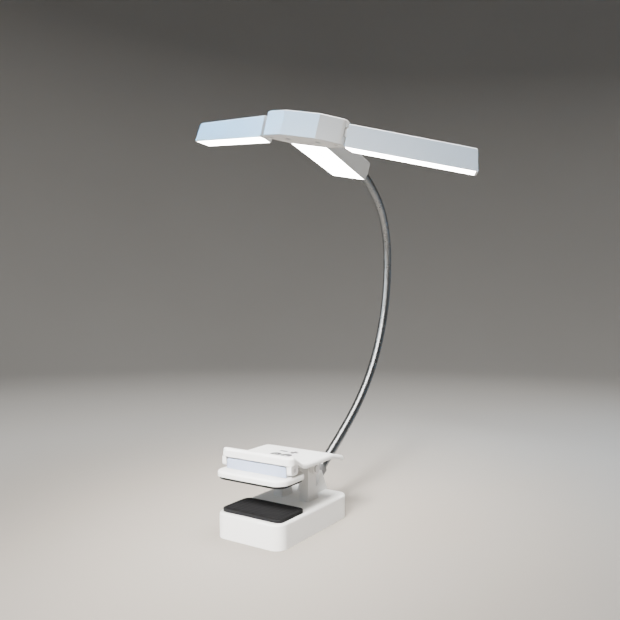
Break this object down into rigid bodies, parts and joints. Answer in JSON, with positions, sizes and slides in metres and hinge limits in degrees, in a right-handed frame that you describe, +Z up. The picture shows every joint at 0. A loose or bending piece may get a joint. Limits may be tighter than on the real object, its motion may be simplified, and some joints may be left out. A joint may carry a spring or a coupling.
{
  "type": "clip-on book light",
  "caption": "Rechargeable clip-on reading light: a spring clip with a battery base and tilting jaw, a bendable metal neck and a head of folding light bars.",
  "frame": {"origin": "centre of the lower pad's gripping face, under the held board", "axes": "+X across the clip to its right, +Y rearward from the jaws to the hinge and the neck, +Z up"},
  "size_m": [0.1959, 0.2162, 0.2652],
  "materials": {
    "white_plastic": "fine satin moulding",
    "lilac_panel": "smooth satin",
    "touch_print": "satin, flush with the lever",
    "black_rubber": "soft matt, finely ribbed",
    "neck_metal": "dark coated spiral",
    "collar_grey": "satin",
    "bright_steel": "bright drawn",
    "lit_diffuser": "milky, lit from behind",
    "light_board": "white solder mask",
    "circuit_board": "green solder mask",
    "cell_foil": "pouch foil",
    "light_pipe": "clear"
  },
  "bodies": {
    "base": {"base_housing": "white_plastic", "base_cover": "white_plastic", "base_screws": "bright_steel", "battery": "cell_foil", "control_board": "circuit_board", "usb_socket": "bright_steel", "charge_light": "light_pipe", "lower_pad": "black_rubber", "hinge_pin": "bright_steel", "clip_spring": "bright_steel", "neck_bottom_collar": "collar_grey"},
    "lever": {"lever_plate": "white_plastic", "touch_inlay": "touch_print", "foot_pins": "bright_steel"},
    "foot": {"foot_plate": "white_plastic", "foot_panel": "lilac_panel", "upper_pad": "black_rubber"},
    "neck_1": {"neck_piece_one": "neck_metal"},
    "neck_2": {"neck_piece_two": "neck_metal"},
    "neck_3": {"neck_piece_three": "neck_metal"},
    "neck_4": {"neck_piece_four": "neck_metal"},
    "neck_5": {"neck_piece_five": "neck_metal"},
    "neck_6": {"neck_piece_six": "neck_metal"},
    "head": {"hub_shell": "white_plastic", "hub_cover": "white_plastic", "hub_screws": "bright_steel", "hub_board": "circuit_board", "wing_pins": "bright_steel", "bar_housing": "white_plastic", "bar_diffuser": "lit_diffuser", "bar_led_board": "light_board", "neck_top_collar": "collar_grey"},
    "left_wing": {"left_wing_housing": "white_plastic", "left_wing_diffuser": "lit_diffuser", "left_wing_led_board": "light_board"},
    "right_wing": {"right_wing_housing": "white_plastic", "right_wing_diffuser": "lit_diffuser", "right_wing_led_board": "light_board"}
  },
  "joints": [
    {"name": "clip_hinge", "type": "hinge", "parent": "base", "child": "lever", "pos_m": [0, 0.033, 0.019], "axis": [-1, 0, 0], "range_deg": [-20, 19], "stiffness_Nm_per_rad": 0.25, "springref_deg": -51.57, "deforming": ["clip_spring"]},
    {"name": "foot_pivot", "type": "hinge", "parent": "lever", "child": "foot", "pos_m": [0, -0.0036, 0.0269], "axis": [-1, 0, 0], "range_deg": [-6, 10]},
    {"name": "neck_root_bend", "type": "hinge", "parent": "base", "child": "neck_1", "pos_m": [0, 0.0683, 0.0124], "axis": [0.9992, 0.0361, 0.019], "range_deg": [-30, 12]},
    {"name": "neck_bend_one", "type": "hinge", "parent": "neck_1", "child": "neck_2", "pos_m": [-0.00374, 0.11495, 0.03831], "axis": [-0.0021, 0.4958, -0.8684], "range_deg": [-25, 25]},
    {"name": "neck_bend_two", "type": "hinge", "parent": "neck_2", "child": "neck_3", "pos_m": [-0.00955, 0.15806, 0.06928], "axis": [0.9928, 0.1041, 0.0596], "range_deg": [-25, 12]},
    {"name": "neck_bend_three", "type": "hinge", "parent": "neck_3", "child": "neck_4", "pos_m": [-0.01408, 0.18922, 0.11203], "axis": [-0.0607, 0.9113, -0.4072], "range_deg": [-25, 25]},
    {"name": "neck_bend_four", "type": "hinge", "parent": "neck_4", "child": "neck_5", "pos_m": [-0.01321, 0.19459, 0.16433], "axis": [0.9955, 0.0664, -0.0681], "range_deg": [-25, 12]},
    {"name": "neck_bend_five", "type": "hinge", "parent": "neck_5", "child": "neck_6", "pos_m": [-0.00726, 0.16467, 0.20652], "axis": [0.0392, 0.5252, 0.8501], "range_deg": [-25, 25]},
    {"name": "neck_tip_bend", "type": "hinge", "parent": "neck_6", "child": "head", "pos_m": [0.00167, 0.11495, 0.22255], "axis": [0.9732, 0.1876, -0.1327], "range_deg": [-30, 20]},
    {"name": "left_wing_hinge", "type": "hinge", "parent": "head", "child": "left_wing", "pos_m": [0.00077, 0.01057, 0.23149], "axis": [-0.1866, -0.1088, -0.9764], "range_deg": [-26.7, 63.3]},
    {"name": "right_wing_hinge", "type": "hinge", "parent": "head", "child": "right_wing", "pos_m": [0.04215, 0.01832, 0.22272], "axis": [0.1866, 0.1088, 0.9764], "range_deg": [-14, 76]}
  ]
}
